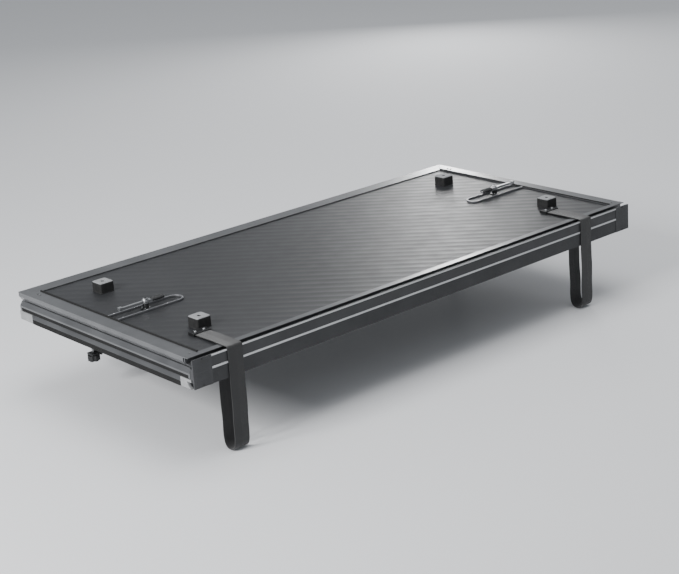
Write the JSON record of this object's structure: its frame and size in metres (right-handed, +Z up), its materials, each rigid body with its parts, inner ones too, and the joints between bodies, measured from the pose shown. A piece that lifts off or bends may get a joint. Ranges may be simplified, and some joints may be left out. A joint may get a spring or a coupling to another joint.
{
  "type": "tonneau cover",
  "caption": "Hard folding pickup bed cover, folded into a stack: framed panels on a double-pivot hinge, with turn latches, bed clamps, bump pads and storage straps.",
  "frame": {"origin": "middle of the bulkhead seal's contact face, where the front panel rests on the bed's front wall", "axes": "+X to the vehicle's right, +Y towards the cab, +Z up; z = 0 is the plane of the bed caps"},
  "size_m": [1.65, 0.8209, 0.3065],
  "materials": {
    "block_plastic": "light grey glass-filled nylon",
    "cap_plastic": "dark grey textured nylon",
    "core_board": "moulded grid core",
    "fitting_steel": "black coated steel",
    "knob_plastic": "black moulded plastic knob on a zinc-plated screw",
    "latch_guide": "grey anodised aluminium",
    "latch_metal": "satin cast aluminium",
    "pad_rubber": "moulded black rubber",
    "panel_skin": "dark charcoal embossed aluminium sheet",
    "pin_steel": "plain steel rod",
    "rail_aluminium": "dark grey powder coat on extruded aluminium, satin",
    "seal_rubber": "matt black sponge rubber",
    "spacer_aluminium": "dark powder coat with a bright bead",
    "strap_webbing": "black woven polyester webbing"
  },
  "bodies": {
    "front_panel": {"bulkhead_seal": "seal_rubber", "clamp_bracket_left": "fitting_steel", "clamp_bracket_right": "fitting_steel", "front_bottom_skin": "panel_skin", "front_core": "core_board", "front_corner_blocks": "block_plastic", "front_head_rail": "rail_aluminium", "front_hinge_rail": "rail_aluminium", "front_side_rail_left": "rail_aluminium", "front_side_rail_right": "rail_aluminium", "front_side_seals": "seal_rubber", "front_top_skin": "panel_skin", "lower_hinge_pin": "pin_steel", "strap_loop_left": "strap_webbing", "strap_loop_right": "strap_webbing", "strap_lower_anchors": "fitting_steel"},
    "folded_panels": {"bump_pad_cab_left": "pad_rubber", "bump_pad_cab_right": "pad_rubber", "bump_pad_rear_left": "pad_rubber", "bump_pad_rear_right": "pad_rubber", "latch_channel_left": "latch_guide", "latch_channel_right": "latch_guide", "latch_nuts": "latch_metal", "latch_post_left": "latch_guide", "latch_post_right": "latch_guide", "middle_bottom_skin": "panel_skin", "middle_core": "core_board", "middle_hinge_rail": "rail_aluminium", "middle_rear_rail": "rail_aluminium", "middle_side_rail_left": "rail_aluminium", "middle_side_rail_right": "rail_aluminium", "middle_side_seals": "seal_rubber", "middle_top_skin": "panel_skin", "rear_bottom_skin": "panel_skin", "rear_core": "core_board", "rear_hinge_pin": "pin_steel", "rear_hinge_rail": "rail_aluminium", "rear_side_rail_left": "rail_aluminium", "rear_side_rail_right": "rail_aluminium", "rear_side_seals": "seal_rubber", "rear_tail_rail": "rail_aluminium", "rear_top_skin": "panel_skin", "strap_anchor_left": "fitting_steel", "strap_anchor_right": "fitting_steel", "strap_upper_left": "strap_webbing", "strap_upper_right": "strap_webbing", "tailgate_seal": "seal_rubber", "upper_hinge_pin": "pin_steel"},
    "jaw_left": {"clamp_jaw_left": "fitting_steel"},
    "jaw_right": {"clamp_jaw_right": "fitting_steel"},
    "screw_left": {"clamp_screw_left": "knob_plastic"},
    "screw_right": {"clamp_screw_right": "knob_plastic"},
    "latch_left": {"latch_arm_left": "latch_metal"},
    "latch_right": {"latch_arm_right": "latch_metal"},
    "spacer": {"spacer_bar": "spacer_aluminium", "spacer_cap_left": "cap_plastic", "spacer_cap_right": "cap_plastic", "strap_face_left": "strap_webbing", "strap_face_right": "strap_webbing"}
  },
  "joints": [
    {"name": "lower_fold", "type": "hinge", "parent": "front_panel", "child": "spacer", "pos_m": [0, -0.788, 0.0235], "axis": [1, 0, 0], "range_deg": [0, 90]},
    {"name": "upper_fold", "type": "hinge", "parent": "spacer", "child": "folded_panels", "pos_m": [0, -0.788, 0.0625], "axis": [1, 0, 0], "range_deg": [0, 90]},
    {"name": "latch_turn_left", "type": "hinge", "parent": "folded_panels", "child": "latch_left", "pos_m": [-0.672, -0.385, 0.1], "axis": [0, 0, -1], "range_deg": [0, 90]},
    {"name": "latch_turn_right", "type": "hinge", "parent": "folded_panels", "child": "latch_right", "pos_m": [0.672, -0.385, 0.1], "axis": [0, 0, 1], "range_deg": [0, 90]},
    {"name": "clamp_screw_turn_left", "type": "hinge", "parent": "front_panel", "child": "screw_left", "pos_m": [-0.712, -0.155, -0.05], "axis": [0, 0, 1], "range_deg": [0, 1800]},
    {"name": "clamp_jaw_slide_left", "type": "slide", "parent": "front_panel", "child": "jaw_left", "axis": [0, 0, 1], "range_m": [0, 0.015]},
    {"name": "clamp_screw_turn_right", "type": "hinge", "parent": "front_panel", "child": "screw_right", "pos_m": [0.712, -0.155, -0.05], "axis": [0, 0, 1], "range_deg": [0, 1800]},
    {"name": "clamp_jaw_slide_right", "type": "slide", "parent": "front_panel", "child": "jaw_right", "axis": [0, 0, 1], "range_m": [0, 0.015]}
  ],
  "couplings": [
    {"joint": "clamp_screw_turn_left", "follows": "clamp_jaw_slide_left", "rad_per_m": 2094.4},
    {"joint": "clamp_screw_turn_right", "follows": "clamp_jaw_slide_right", "rad_per_m": 2094.4}
  ]
}
